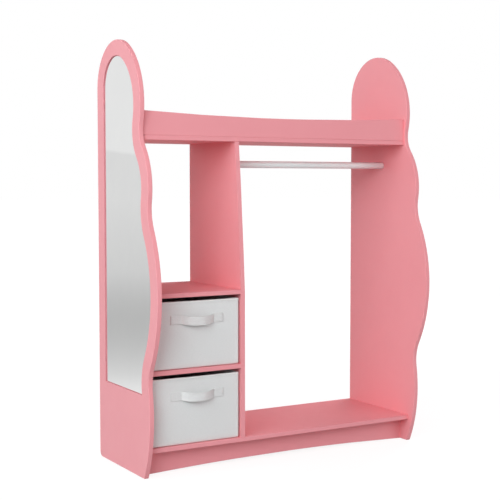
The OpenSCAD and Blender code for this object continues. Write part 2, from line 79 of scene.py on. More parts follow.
def blend_of(tree, factor, a, b):
    """The colour between a and b."""
    mix = place(tree, "Mix", data_type="RGBA")
    feed(tree, mix.inputs[0], factor)
    feed(tree, mix.inputs[6], a)
    feed(tree, mix.inputs[7], b)
    return mix.outputs[2]


def range_of(tree, value, low, high, to_low, to_high):
    """A value's way from low to high, as the same way from to_low to to_high."""
    values = {"Value": value, 1: low, 2: high, 3: to_low, 4: to_high}
    return place(tree, "MapRange", values).outputs[0]


def noise_of(tree, where, scale, detail=2.0, roughness=0.5):
    values = {"Vector": where, "Scale": scale, "Detail": detail, "Roughness": roughness}
    return place(tree, "TexNoise", values).outputs[0]


def new_effect(name, inputs, outputs):
    """An empty shader group with these sockets, and the sockets seen from inside."""
    tree = bpy.data.node_groups.new(name, "ShaderNodeTree")
    for label, kind, value in inputs:
        socket = tree.interface.new_socket(label, in_out="INPUT", socket_type="NodeSocket" + kind)
        socket.default_value = value
    for label, kind in outputs:
        tree.interface.new_socket(label, in_out="OUTPUT", socket_type="NodeSocket" + kind)
    given = tree.nodes.new("NodeGroupInput").outputs
    result = tree.nodes.new("NodeGroupOutput").inputs
    return tree, given, result


SURFACE = [("Colour", "Color"), ("Roughness", "Float"), ("Height", "Float")]


def lacquer_effect():
    """Sprayed paint: faint clouding, a fine peel and roughness that varies a little."""
    tree, given, result = new_effect(
        "sprayed_lacquer",
        [
            ("Paint", "Color", (0.8, 0.8, 0.8, 1)),
            ("Shade", "Color", (0.6, 0.6, 0.6, 1)),
            ("Clouding", "Float", 0.2),
            ("Roughness", "Float", 0.35),
            ("Peel Scale", "Float", 700.0),
        ],
        SURFACE,
    )
    where = place(tree, "TexCoord").outputs["Object"]
    broad = noise_of(tree, where, 7.0, 3.0)
    cloud = range_of(tree, broad, 0.35, 0.65, 0.0, 1.0)
    amount = math_of(tree, "MULTIPLY", cloud, given["Clouding"])
    feed(tree, result["Colour"], blend_of(tree, amount, given["Paint"], given["Shade"]))
    patchy = noise_of(tree, where, 45.0, 4.0)
    spread = range_of(tree, patchy, 0.3, 0.7, -0.05, 0.05)
    feed(tree, result["Roughness"], math_of(tree, "ADD", spread, given["Roughness"]))
    peel = noise_of(tree, where, given["Peel Scale"], 1.0)
    rolling = noise_of(tree, where, 90.0, 1.0)
    feed(tree, result["Height"], math_of(tree, "ADD", peel, rolling))
    return tree


def weave_effect():
    """Plain weave on any face of a box: threads over and under, with uneven thread colour."""
    tree, given, result = new_effect(
        "plain_weave",
        [
            ("Thread", "Color", (0.7, 0.7, 0.7, 1)),
            ("Gap", "Color", (0.5, 0.5, 0.5, 1)),
            ("Pitch", "Float", 0.0008),
            ("Depth", "Float", 0.4),
            ("Slub", "Float", 0.3),
            ("Roughness", "Float", 0.85),
        ],
        SURFACE,
    )
    coords = place(tree, "TexCoord").outputs
    xyz = place(tree, "SeparateXYZ", {0: coords["Object"]}).outputs
    facing = place(tree, "SeparateXYZ", {0: coords["Normal"]}).outputs
    side = math_of(tree, "GREATER_THAN", math_of(tree, "ABSOLUTE", facing[0]), 0.7)
    flat = math_of(tree, "GREATER_THAN", math_of(tree, "ABSOLUTE", facing[2]), 0.7)
    across = place(tree, "Mix", {0: side, 2: xyz[0], 3: xyz[1]}).outputs[0]
    along = place(tree, "Mix", {0: flat, 2: xyz[2], 3: xyz[1]}).outputs[0]
    step = math_of(tree, "DIVIDE", math.pi, given["Pitch"])
    warp = math_of(tree, "SINE", math_of(tree, "MULTIPLY", across, step))
    weft = math_of(tree, "SINE", math_of(tree, "MULTIPLY", along, step))
    over = math_of(tree, "GREATER_THAN", math_of(tree, "MULTIPLY", warp, weft), 0.0)
    warp_top = math_of(tree, "ABSOLUTE", warp)
    weft_top = math_of(tree, "ABSOLUTE", weft)
    thread = place(tree, "Mix", {0: over, 2: warp_top, 3: weft_top}).outputs[0]
    stretch = place(tree, "VectorMath", {0: coords["Object"], 1: (1.0, 1.0, 9.0)}, operation="MULTIPLY")
    slub = noise_of(tree, stretch.outputs[0], 160.0, 3.0)
    uneven = range_of(tree, slub, 0.35, 0.65, -1.0, 1.0)
    uneven = math_of(tree, "MULTIPLY", uneven, given["Slub"])
    shade = range_of(tree, thread, 0.0, 0.9, given["Depth"], 0.0)
    shade = math_of(tree, "ADD", shade, uneven)
    shade = place(tree, "Clamp", {0: shade}).outputs[0]
    feed(tree, result["Colour"], blend_of(tree, shade, given["Thread"], given["Gap"]))
    rough = math_of(tree, "MULTIPLY_ADD", shade, 0.1, given["Roughness"])
    feed(tree, result["Roughness"], rough)
    feed(tree, result["Height"], math_of(tree, "ADD", thread, uneven))
    return tree


def fibre_effect():
    """Wood fibres and board chips, stretched along one axis."""
    tree, given, result = new_effect(
        "wood_fibres",
        [
            ("Light", "Color", (0.7, 0.5, 0.3, 1)),
            ("Dark", "Color", (0.5, 0.35, 0.2, 1)),
            ("Stretch", "Vector", (1.0, 1.0, 0.06)),
            ("Scale", "Float", 260.0),
            ("Roughness", "Float", 0.6),
        ],
        SURFACE,
    )
    where = place(tree, "TexCoord").outputs["Object"]
    drawn = place(tree, "VectorMath", {0: where, 1: given["Stretch"]}, operation="MULTIPLY").outputs[0]
    fibres = noise_of(tree, drawn, given["Scale"], 6.0, 0.65)
    share = range_of(tree, fibres, 0.3, 0.7, 0.0, 1.0)
    feed(tree, result["Colour"], blend_of(tree, share, given["Light"], given["Dark"]))
    feed(tree, result["Roughness"], math_of(tree, "MULTIPLY_ADD", share, 0.15, given["Roughness"]))
    feed(tree, result["Height"], fibres)
    return tree


def plating_effect():
    """Plated or cast metal: a grainy skin with patches that are duller."""
    tree, given, result = new_effect(
        "metal_skin",
        [
            ("Bright", "Color", (0.8, 0.8, 0.8, 1)),
            ("Dull", "Color", (0.6, 0.6, 0.6, 1)),
            ("Roughness", "Float", 0.3),
            ("Grain Scale", "Float", 1500.0),
        ],
        SURFACE,
    )
    where = place(tree, "TexCoord").outputs["Object"]
    patches = noise_of(tree, where, 300.0, 3.0)
    share = range_of(tree, patches, 0.35, 0.7, 0.0, 1.0)
    feed(tree, result["Colour"], blend_of(tree, share, given["Bright"], given["Dull"]))
    feed(tree, result["Roughness"], math_of(tree, "MULTIPLY_ADD", share, 0.15, given["Roughness"]))
    feed(tree, result["Height"], noise_of(tree, where, given["Grain Scale"], 2.0))
    return tree


EFFECTS = {
    "lacquer": lacquer_effect(),
    "weave": weave_effect(),
    "fibres": fibre_effect(),
    "metal": plating_effect(),
}


def srgb(red, green, blue):
    """The shader's colour for a colour as a screen shows it, 0 to 255."""

    def linear(level):
        return ((level / 255 + 0.055) / 1.055) ** 2.4 if level > 10 else level / 3294.6

    return (linear(red), linear(green), linear(blue), 1)


PAINTED_SHADE_MARK = "painted_shade"  # the mesh attribute that marks the walls of the mirror's recess, which get painted shade


def finish_of(name, effect, values, bump, distance, painted_shade=None, bounce=None, **shader):
    """A material whose colour, roughness and bump come from one of the effects. The colour for marked
    faces is painted shade on the walls of the mirror's recess, and bounce that of the light that it throws
    on what stands near."""
    material = bpy.data.materials.new(name)
    material.use_nodes = True
    tree = material.node_tree
    principled = tree.nodes["Principled BSDF"]
    group = tree.nodes.new("ShaderNodeGroup")
    group.node_tree = EFFECTS[effect]
    for label, value in values.items():
        group.inputs[label].default_value = value
    colour = group.outputs["Colour"]
    # painted shade: faces marked as the mirror recess's walls take a darker colour
    if painted_shade:
        shade_mask = place(tree, "Attribute", attribute_name=PAINTED_SHADE_MARK).outputs["Fac"]
        colour = blend_of(tree, shade_mask, colour, painted_shade)
    if bounce:
        colour = blend_of(tree, place(tree, "LightPath").outputs["Is Diffuse Ray"], colour, bounce)
    feed(tree, principled.inputs["Base Color"], colour)
    feed(tree, principled.inputs["Roughness"], group.outputs["Roughness"])
    bump_values = {"Strength": bump, "Distance": distance, "Height": group.outputs["Height"]}
    feed(tree, principled.inputs["Normal"], place(tree, "Bump", bump_values).outputs[0])
    for label, value in shader.items():
        principled.inputs[label.replace("_", " ").title()].default_value = value
    return material


def mirror_finish():
    """Silvered acrylic: a nearly clean mirror with faint waves and a faintly uneven silver tint."""
    material = bpy.data.materials.new("silvered_acrylic")
    material.use_nodes = True
    tree = material.node_tree
    principled = tree.nodes["Principled BSDF"]
    where = place(tree, "TexCoord").outputs["Object"]
    principled.inputs["Roughness"].default_value = 0.0
    tint = range_of(tree, noise_of(tree, where, 14.0, 6.0, 0.7), 0.3, 0.7, 0.0, 1.0)
    silver = blend_of(tree, tint, (0.93, 0.935, 0.935, 1), (0.95, 0.955, 0.95, 1))
    feed(tree, principled.inputs["Base Color"], silver)
    waves = noise_of(tree, where, 9.0, 1.0)
    bump_values = {"Strength": 0.05, "Distance": 0.0004, "Height": waves}
    feed(tree, principled.inputs["Normal"], place(tree, "Bump", bump_values).outputs[0])
    principled.inputs["Metallic"].default_value = 1.0
    return material


PINK = {"Paint": srgb(227, 147, 154), "Shade": srgb(224, 143, 150), "Clouding": 0.5}
# painted shade: a darker pink on the walls of the mirror's recess, standing in for the shade there
PINK_PAINTED_SHADE = srgb(212, 134, 142)
PINK_BOUNCE = srgb(244, 108, 118)
FINISHES = {
    "pink_paint": finish_of(
        "pink_lacquer",
        "lacquer",
        {**PINK, "Roughness": 0.68},
        0.12,
        0.0002,
        painted_shade=PINK_PAINTED_SHADE,
        bounce=PINK_BOUNCE,
        coat_weight=0.5,
        coat_roughness=0.6,
    ),
    "pink_hardboard": finish_of(
        "pink_hardboard", "lacquer", {**PINK, "Roughness": 0.6, "Peel Scale": 420.0}, 0.3, 0.0003
    ),
    "white_rod": finish_of(
        "white_lacquer",
        "lacquer",
        {"Paint": srgb(226, 246, 246), "Shade": srgb(222, 242, 242), "Clouding": 0.5, "Roughness": 0.55},
        0.02,
        0.00005,
        coat_weight=0.3,
        coat_roughness=0.35,
    ),
    "mirror": mirror_finish(),
    "foam_tape": finish_of(
        "foam_tape",
        "lacquer",
        {"Paint": srgb(238, 238, 232), "Shade": srgb(222, 222, 214), "Roughness": 0.9},
        0.5,
        0.0004,
    ),
    "grey_fabric": finish_of(
        "grey_bin_cloth",
        "weave",
        {
            "Thread": srgb(220, 221, 221),
            "Gap": srgb(196, 196, 197),
            "Pitch": 0.0007,
            "Depth": 0.35,
            "Slub": 0.18,
        },
        0.35,
        0.00025,
        sheen_weight=0.15,
        sheen_roughness=0.5,
    ),
    "grey_strap": finish_of(
        "grey_strap_webbing",
        "weave",
        {
            "Thread": srgb(225, 225, 225),
            "Gap": srgb(190, 189, 190),
            "Pitch": 0.0011,
            "Depth": 0.45,
            "Slub": 0.12,
        },
        0.5,
        0.0004,
        sheen_weight=0.15,
        sheen_roughness=0.5,
    ),
    "board_stiffener": finish_of(
        "grey_board",
        "fibres",
        {
            "Light": srgb(196, 182, 160),
            "Dark": srgb(164, 148, 126),
            "Stretch": (1, 1, 1),
            "Roughness": 0.8,
        },
        0.3,
        0.0003,
    ),
    "zinc_steel": finish_of(
        "zinc_plated_steel",
        "metal",
        {"Bright": srgb(214, 216, 220), "Dull": srgb(188, 191, 194), "Roughness": 0.25},
        0.1,
        0.0001,
        metallic=1.0,
    ),
    "cast_zinc": finish_of(
        "die_cast_zinc",
        "metal",
        {
            "Bright": srgb(190, 192, 195),
            "Dull": srgb(158, 160, 163),
            "Roughness": 0.42,
            "Grain Scale": 900.0,
        },
        0.3,
        0.0002,
        metallic=1.0,
    ),
    "beech": finish_of(
        "beech",
        "fibres",
        {
            "Light": srgb(222, 190, 148),
            "Dark": srgb(188, 148, 104),
            "Stretch": (0.08, 1.0, 1.0),
            "Roughness": 0.55,
        },
        0.4,
        0.0003,
    ),
}
SLOTS = {row["node"]: row["material_slot"] for row in frame["record"]["subparts"]}
for name, carried in frame["nodes"].items():
    carried.data.materials.clear()
    carried.data.materials.append(FINISHES[SLOTS[name]])


def add_piece(name, mesh, body, slot, *stands_for):
    """A finished piece that moves with a body, in place of the CAD nodes that it stands for."""
    piece = bpy.data.objects.new(name, mesh)
    bpy.context.scene.collection.objects.link(piece)
    mesh.materials.clear()
    mesh.materials.append(FINISHES[slot])
    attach(piece, body)
    if stands_for:
        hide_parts(*stands_for)
    return piece


# ---------- painted boards ----------

SAME_CORNER = 1e-6  # corners nearer than this are one
SAME_PLANE = 1e-5  # a corner nearer than this to an end face lies in it
ONE_FACE = math.radians(0.8)  # faces that meet flatter than this are one
SHARP = math.radians(35)  # an edge that turns more than this isn't part of a curve
SMALLEST_RIM = 30 * MM  # a smaller ring of edges is a drilled hole, and stays sharp
RECESS_RISE = 100 * MM  # the rim of the mirror's recess lies at least this far over the board's foot
ROUNDING = 1.6 * MM
RIM_SHARE = 0.22  # how much of that rounding the rim of the mirror's recess has
BOARDS = {  # the ends that butt against a side panel or shelf stay square: axis they lie along
    "left_side_panel": None,
    "right_side_panel": None,
    "divider_panel": 2,
    "top_shelf": 0,
    "top_front_rail": 0,
    "top_back_rail": 0,
    "bin_top_shelf": 0,
    "bin_middle_shelf": 0,
    "bottom_shelf": 0,
    "toe_kick": 0,
    "rear_plinth_rail": 0,
}


def edge_chains(edges):
    """Groups of edges that share corners."""
    waiting = set(edges)
    while waiting:
        chain, reach = [], [waiting.pop()]
        while reach:
            edge = reach.pop()
            chain.append(edge)
            for vert in edge.verts:
                near = [e for e in vert.link_edges if e in waiting]
                waiting.difference_update(near)
                reach.extend(near)
        yield chain


def chain_span(chain):
    """The chain's longest side, along x, y or z."""
    points = [v.co for e in chain for v in e.verts]
    return max(max(p[i] for p in points) - min(p[i] for p in points) for i in range(3))


def whole_faces(node):
    """A copy of a CAD node's mesh without its shading normals, and its shape with each flat face whole."""
    mesh = frame["nodes"][node].data.copy()
    stored = mesh.attributes.get("custom_normal")
    if stored:
        mesh.attributes.remove(stored)
    shape = bmesh.new()
    shape.from_mesh(mesh)
    bmesh.ops.remove_doubles(shape, verts=shape.verts, dist=SAME_CORNER)
    bmesh.ops.dissolve_limit(shape, angle_limit=ONE_FACE, verts=shape.verts, edges=shape.edges)
    return mesh, shape


def painted_board(name, end_axis):
    """The board with softly rounded edges, as paint leaves them."""
    mesh, shape = whole_faces(name)
    shape.normal_update()
    weight = shape.edges.layers.float.new("bevel_weight_edge")
    painted_shade = shape.faces.layers.float.new(PAINTED_SHADE_MARK)
    sharp = [e for e in shape.edges if len(e.link_faces) == 2 and e.calc_face_angle(0) > SHARP]
    low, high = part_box(name)

    def in_end_face(edge):
        return end_axis is not None and any(
            all(abs(vert.co[end_axis] - limit[end_axis]) < SAME_PLANE for vert in edge.verts)
            for limit in (low, high)
        )

    for edge in sharp:
        edge.smooth = False
    for chain in edge_chains([e for e in sharp if e.is_convex]):
        if chain_span(chain) < SMALLEST_RIM:
            continue
        on_recess = min(v.co.z for e in chain for v in e.verts) > low.z + RECESS_RISE
        for edge in chain:
            if not in_end_face(edge):
                edge[weight] = RIM_SHARE if on_recess else 1.0
            for face in edge.link_faces:
                # the recess's walls are marked for painted shade, a darker pink
                shaded_wall = on_recess and abs(face.normal.x) < 0.5
                if shaded_wall:
                    face[painted_shade] = 1.0
    for face in shape.faces:
        face.smooth = True
    shape.to_mesh(mesh)
    shape.free()
    board = add_piece(name + "_painted", mesh, "carcass", "pink_paint", name)
    bevel = board.modifiers.new("soft edges", "BEVEL")
    bevel.limit_method = "WEIGHT"
    bevel.width = ROUNDING
    bevel.segments = 3
    bevel.harden_normals = True


for board_name, end_axis in BOARDS.items():
    painted_board(board_name, end_axis)


# ---------- mirror, hardboard and rod ----------

MIRROR_PLAY = 0.8 * MM
ROD_SIDES = 72
ROD_EASE = 1.2 * MM


def eased_copy(name, node, slot, body, width):
    """A copy of a CAD sheet whose outer corners are eased by a small bevel."""
    mesh, shape = whole_faces(node)
    shape.to_mesh(mesh)
    shape.free()
    mesh.shade_flat()
    piece = add_piece(name, mesh, body, slot, node)
    bevel = piece.modifiers.new("eased edges", "BEVEL")
    bevel.limit_method = "ANGLE"
    bevel.angle_limit = SHARP
    bevel.width = width
    bevel.segments = 2
    return piece


def leave_play(sheet, play):
    """Draws an upright sheet in by the play that it has in its recess."""
    points = [v.co for v in sheet.data.vertices]
    for axis in (1, 2):
        low = min(p[axis] for p in points)
        high = max(p[axis] for p in points)
        middle = (low + high) / 2
        shrink = 1 - 2 * play / (high - low)
        for point in points:
            point[axis] = middle + (point[axis] - middle) * shrink


def loft(rings):
    """A closed mesh through rings of points."""
    shape = bmesh.new()
    rows = [[shape.verts.new(point) for point in ring] for ring in rings]
    for low, high in zip(rows, rows[1:]):
        for i in range(len(low)):
            j = (i + 1) % len(low)
            shape.faces.new((low[i], low[j], high[j], high[i]))
    shape.faces.new(rows[0][::-1])
    shape.faces.new(rows[-1])
    bmesh.ops.recalc_face_normals(shape, faces=shape.faces)
    mesh = bpy.data.meshes.new("loft")
    shape.to_mesh(mesh)
    shape.free()
    mesh.shade_smooth()
    return mesh


def turned_rod():
    """The white rod, with slightly rounded ends in its two sockets."""
    low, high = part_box("hanging_rod")
    middle = (low + high) / 2
    radius = (high.z - low.z) / 2
    length = high.x - low.x
    step = 0.35 * ROD_EASE
    sections = [(0.0, radius - ROD_EASE), (step, radius - step), (ROD_EASE, radius)]
    sections += [(length - x, r) for x, r in reversed(sections)]
    rings = [
        [
            Vector((low.x + x, middle.y + r * math.cos(turn), middle.z + r * math.sin(turn)))
            for turn in (2 * math.pi * i / ROD_SIDES for i in range(ROD_SIDES))
        ]
        for x, r in sections
    ]
    add_piece("turned_rod", loft(rings), "carcass", "white_rod", "hanging_rod")


mirror = eased_copy("side_mirror", "mirror_sheet", "mirror", "carcass", 0.3 * MM)
leave_play(mirror, MIRROR_PLAY)
eased_copy("hardboard_back", "bin_back_panel", "pink_hardboard", "carcass", 0.4 * MM)
turned_rod()


# ---------- fabric bins, in millimetres ----------

WALL = 4.0  # cloth over board
HEM = 12.0
CORNER = 4.5  # radius of an upright corner
CROWN = 0.9  # how far a wall bulges in its middle
WELT = 0.35  # how far the seam stands out along an upright corner
DENT = 0.4  # broad unevenness of the slack cloth
RIPPLE = 0.1  # fine unevenness
HEM_SAG = 0.7
STRAP_HALF = 75.0  # from the strap's middle to its end
STRAP_WIDTH = 23.0
STRAP_THICK = 1.9
STRAP_REST = 0.55  # from the wall to the strap's back, where it is sewn on
STRAP_SHIFT = 5.5  # from the bin's middle to the strap's, to the right
STRAP_HEIGHT = 124.5  # from under the bin to the strap's middle
LOOP_HALF = 47.0
LOOP_CREST = 0.5  # where the loop stands out most, to the right of the strap's middle
LOOP_REACH = 16.0
LOOP_SAG = 4.1
LOOP_ROUND = 2.1  # power of the loop's curve
LOOP_ROOT = 0.6  # share of its left half after which the loop runs out softly
RIB_PITCH = 3.7
RIB_RISE = 0.26
CORD_WIDTH = 2.6  # the thicker cord along the webbing's edges
CORD_RISE = 0.25
THREAD = 0.28  # radius of the sewing thread
THREAD_RISE = 0.05  # from the webbing's face to the middle of its threads
STRAP_STITCH = {"pitch": 3.4, "length": 2.5}
SEAM_STITCH = {"pitch": 4.2, "length": 3.1}
STITCH_SECTIONS = [  # (share of the stitch's length, width, height over the cloth), in thread radii
    (0.0, 0.35, -0.4),
    (0.18, 1.0, 0.35),
    (0.5, 1.1, 0.75),
    (0.82, 1.0, 0.35),
    (1.0, 0.35, -0.4),
]


def plan_ring(half_w, half_d, radius):
    """Points round a rectangle with round corners, each with its outward direction and its place
    along its side, -1 to 1, which is 2 on a corner."""
    ring = []
    steps, turns = 22, 6
    for corner in range(4):
        angle = math.pi / 2 * corner
        ahead = Vector((math.cos(angle), math.sin(angle)))
        left = Vector((-ahead.y, ahead.x))
        out, wide = (half_w, half_d) if corner % 2 == 0 else (half_d, half_w)
        reach = wide - radius
        for i in range(steps + 1):
            share = -1 + 2 * i / steps
            ring.append((ahead * out + left * share * reach, ahead, share))
        centre = ahead * (out - radius) + left * reach
        for i in range(1, turns):
            turn = angle + math.pi / 2 * i / turns
            away = Vector((math.cos(turn), math.sin(turn)))
            ring.append((centre + away * radius, away, 2))
    return ring


def wall_profile(height):
    """(inset, height, how much the wall's slackness shows) from under the bin, up and over the hem."""
    hem = height - HEM
    outside = [(9, 0.3, 0), (3.2, 0.3, 0), (1.3, 0.8, 0.1), (0.4, 2.2, 0.2), (0.05, 4.5, 0.4)]
    outside += [(0, 4.5 + (hem - 5.5) * i / 13, 1) for i in range(1, 14)]
    outside += [(-0.05, hem + 3, 1), (-0.2, height - 5.2, 0.9), (-0.45, height - 4.4, 0.8)]
    lip = [(-0.45, height - 2.6, 0.6), (0.1, height - 1.2, 0.5), (1.1, height - 0.3, 0.4)]
    lip += [(2.2, height, 0.3), (3.5, height - 0.5, 0.2)]
    inside = [(WALL + 0.2, height - 2, 0.1), (WALL + 0.4, height - 5, 0), (WALL + 0.4, hem + 0.6, 0)]
    inside += [(WALL + 0.1, hem, -0.1)]
    inside += [(WALL, hem - (hem - 5) * i / 8, -0.2) for i in range(1, 9)]
    inside += [(WALL + 0.4, 2.6, 0), (WALL + 2, 1.4, 0), (WALL + 8, 1.2, 0)]
    return outside + lip + inside


def bin_cloth(name, node, body, seed):
    """The sewn box: crowned, slightly slack walls, welted corners and a folded hem."""
    low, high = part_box(node)
    middle = (low + high) / 2
    half_w = (high.x - low.x) / 2 / MM
    half_d = (high.y - low.y) / 2 / MM
    height = (high.z - low.z) / MM
    rings = []
    for inset, z, slack in wall_profile(height):
        radius = max(CORNER - max(inset, 0), 1.2)
        rise = 1 - (2 * z / height - 1) ** 2
        ring = []
        for point, away, share in plan_ring(half_w - inset, half_d - inset, radius):
            if share == 2:
                push = WELT * max(slack, 0)
            else:
                crown = CROWN * (1 - share * share) * rise
                broad = noise.noise(Vector((point.x / 55, point.y / 55, z / 48 + seed)))
                fine = noise.noise(Vector((point.x / 17, point.y / 17, z / 15 - seed)))
                calm = 1 - share**6
                push = slack * (crown + calm * (DENT * broad + RIPPLE * fine))
            spread = point + away * push
            sag = 0
            if share != 2 and z > height - HEM:
                sag = HEM_SAG * (1 - share * share) * (z - height + HEM) / HEM
            ring.append(middle + Vector((spread.x * MM, spread.y * MM, (z - sag - height / 2) * MM)))
        rings.append(ring)
    add_piece(name, loft(rings), body, "grey_fabric", node)


def strap_centre(s):
    """How far the strap stands out and how far it sags, at s from its middle."""
    if abs(s) >= LOOP_HALF:
        return STRAP_REST, 0.0
    if s > LOOP_CREST:
        lift = 1 - ((s - LOOP_CREST) / (LOOP_HALF - LOOP_CREST)) ** LOOP_ROUND
    else:
        share = (LOOP_CREST - s) / (LOOP_HALF + LOOP_CREST)
        run_out = max(0.0, (share - LOOP_ROOT) / (1 - LOOP_ROOT))
        lift = (1 - share**LOOP_ROUND) * (1 - run_out**2)
    return STRAP_REST + LOOP_REACH * lift, -LOOP_SAG * lift


def strap_frame(anchor, s):
    """The strap's place at s and the direction its outer face looks."""
    lift, sag = strap_centre(s)
    ahead, _ = strap_centre(s + 0.5)
    behind, _ = strap_centre(s - 0.5)
    along = Vector((1, behind - ahead, 0)).normalized()
    out = Vector((along.y, -along.x, 0))
    return anchor + Vector((s, -lift, sag)) * MM, out


def strap_stops():
    """Places along the strap, closer together where it folds up from its sewn ends."""
    flat = [-STRAP_HALF, -STRAP_HALF + 0.6, -STRAP_HALF + 2, -66, -60, -54, -50, -48.2, -47.4]
    bend = [-LOOP_HALF + LOOP_HALF * (i / 30) ** 1.3 for i in range(31)]
    left = flat + bend
    return left + [-s for s in reversed(left[:-1])]


def strap_section():
    """(height, thickness) round the webbing: ribbed outside, plain inside, rounded edges."""
    half = STRAP_WIDTH / 2
    rounded = 0.9
    face = STRAP_WIDTH - 2 * rounded
    outer = []
    for i in range(41):
        z = -half + rounded + face * i / 40
        rib = RIB_RISE * math.cos(2 * math.pi * z / RIB_PITCH)
        cord = CORD_RISE if abs(z) > half - CORD_WIDTH else 0.0
        outer.append((z, STRAP_THICK + rib + cord))
    top = [(half - 0.2, STRAP_THICK * 0.85), (half, STRAP_THICK * 0.5), (half - 0.25, STRAP_THICK * 0.15)]
    inner = [(half - rounded - face * i / 8, 0.0) for i in range(9)]
    bottom = [(-z, t) for z, t in reversed(top)]
    return outer + top + inner + bottom


def webbing(name, node, body, anchor):
    """The strap, sewn flat at both ends, its middle standing out in a loop."""
    section = strap_section()
    rings = []
    for s in strap_stops():
        centre, out = strap_frame(anchor, s)
        end = STRAP_HALF - abs(s)
        pinch = 0.45 if end < 0.3 else (0.8 if end < 1 else 1.0)
        rings.append([centre + out * (t * pinch * MM) + Vector((0, 0, z * MM)) for z, t in section])
    add_piece(name, loft(rings), body, "grey_strap", node)


def add_stitch(shape, start, end, out):
    """One stitch of thread, dipping into the cloth at both ends."""
    radius = THREAD * MM
    along = (end - start).normalized()
    side = along.cross(out).normalized()
    rows = []
    for share, swell, rise in STITCH_SECTIONS:
        centre = start.lerp(end, share) + out * (radius * rise)
        rows.append(
            [
                shape.verts.new(centre + (side * math.cos(a) + out * math.sin(a)) * radius * swell)
                for a in (2 * math.pi * i / 6 for i in range(6))
            ]
        )
    for low, high in zip(rows, rows[1:]):
        for i in range(6):
            j = (i + 1) % 6
            shape.faces.new((low[i], low[j], high[j], high[i]))


def stitch_along(shape, points_of, start, end, pitch, length):
    """Stitches between two places on a line; points_of gives a place's point and outward direction."""
    count = max(1, round(abs(end - start) / pitch))
    step = (end - start) / count
    for i in range(count):
        a = start + step * (i + 0.5) - math.copysign(length / 2, step)
        b = start + step * (i + 0.5) + math.copysign(length / 2, step)
        (first, out), (second, _) = points_of(a), points_of(b)
        add_stitch(shape, first, second, out)


def strap_stitches(shape, anchor):
    """A sewn box on each end patch and a row along both edges of the loop."""

    def on_strap(s, z):
        centre, out = strap_frame(anchor, s)
        return centre + out * ((STRAP_THICK + THREAD_RISE) * MM) + Vector((0, 0, z * MM)), out

    def row_along(z, start, end):
        stitch_along(shape, lambda s: on_strap(s, z), start, end, **STRAP_STITCH)

    def row_across(s, start, end):
        stitch_along(shape, lambda z: on_strap(s, z), start, end, **STRAP_STITCH)

    edge = STRAP_WIDTH / 2 - 3.4
    for side in (-1, 1):
        near, far = side * (LOOP_HALF + 3), side * (STRAP_HALF - 3)
        for z in (-edge, edge):
            row_along(z, near, far)
        for s in (near, far):
            row_across(s, -edge, edge)
    for z in (-edge, edge):
        row_along(z, -LOOP_HALF + 2, LOOP_HALF - 2)


def seam_stitches(shape, node):
    """The row that holds the hem, all round, and the rows beside the upright corners."""
    low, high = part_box(node)
    hem_row = high.z - 5.8 * MM
    inset = 6 * MM
    stand = 0.55 * MM  # how far the hem's row stands out; the corners' rows lie 0.45 mm lower
    walls = [
        (Vector((low.x, low.y, 0)), Vector((1, 0, 0)), Vector((0, -1, 0)), high.x - low.x),
        (Vector((high.x, low.y, 0)), Vector((0, 1, 0)), Vector((1, 0, 0)), high.y - low.y),
        (Vector((high.x, high.y, 0)), Vector((-1, 0, 0)), Vector((0, 1, 0)), high.x - low.x),
        (Vector((low.x, high.y, 0)), Vector((0, -1, 0)), Vector((-1, 0, 0)), high.y - low.y),
    ]
    for corner, along, out, span in walls:

        def on_wall(s, z, bulge):
            share = 2 * s * MM / span - 1
            crown = CROWN * (1 - share * share) * MM * bulge
            return corner + along * (s * MM) + out * (crown + stand) + Vector((0, 0, z)), out

        first, last = inset / MM, (span - inset) / MM
        stitch_along(shape, lambda s: on_wall(s, hem_row, 0.45), first, last, **SEAM_STITCH)
        for s in (first, last):
            stitch_along(
                shape,
                lambda z: (on_wall(s, low.z + z * MM, 0.1)[0] - out * 0.45 * MM, out),
                8,
                (high.z - low.z) / MM - HEM - 3,
                **SEAM_STITCH,
            )


def stitching(name, body, node, anchor):
    """All the thread that shows on one bin."""
    shape = bmesh.new()
    strap_stitches(shape, anchor)
    seam_stitches(shape, node)
    mesh = bpy.data.meshes.new(name)
    shape.to_mesh(mesh)
    shape.free()
    mesh.shade_smooth()
    add_piece(name, mesh, body, "grey_strap")


def fabric_bin(which, seed):
    """The cloth box, its strap, its stitching and its floor board."""
    cloth_node = which + "_bin_fabric"
    low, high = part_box(cloth_node)
    anchor = Vector(((low.x + high.x) / 2 + STRAP_SHIFT * MM, low.y, low.z + STRAP_HEIGHT * MM))
    body = which + "_bin"
    bin_cloth(which + "_bin_cloth", cloth_node, body, seed)
    webbing(which + "_bin_strap", which + "_bin_handle", body, anchor)
    stitching(which + "_bin_stitching", body, cloth_node, anchor)
    eased_copy(which + "_bin_floor_board", which + "_bin_base_board", "board_stiffener", body, 0.6 * MM)


fabric_bin("upper", 3.7)
fabric_bin("lower", 11.2)


# ---------- light, floor and camera ----------

FLOOR_RADIUS = 42
FLOOR_GLOW = 0.116  # the light that the floor sends up
FLOOR_GREY = (0.3, 0.3, 0.3, 1)  # its colour in the light that it throws back
SHADOW_GREY = (0.16, 0.16, 0.16, 1)  # what the camera sees of its shadows, on top of the white
PAPER = (1.5, 6.0, 0.88, 1.0)  # the white that the camera sees: from and to, in metres, and how bright
WHITE = (1, 1, 1, 1)
FLOOR_SHEEN = [  # (share of the way out, brightness) of the floor as the mirror and the gloss show it
    (0.0, 0.95),
    (0.13, 0.69),
    (0.31, 0.5),
    (0.5, 0.64),
    (1.0, 0.73),
]
SHEEN_DOUBLINGS = 5.4  # the way out is counted in doublings, from 1 m to the floor's edge
ROOM_BEHIND = 0.51  # the room's light, by the side that it comes from
ROOM_LEFT = 0.31
ROOM_ABOVE = 0.03
ROOM_BEFORE = 0.35
WALL_BEFORE = 0.75  # the walls' brightness in soft gloss
WALL_BEHIND = 0.5
WALL_LEFT = 3.4
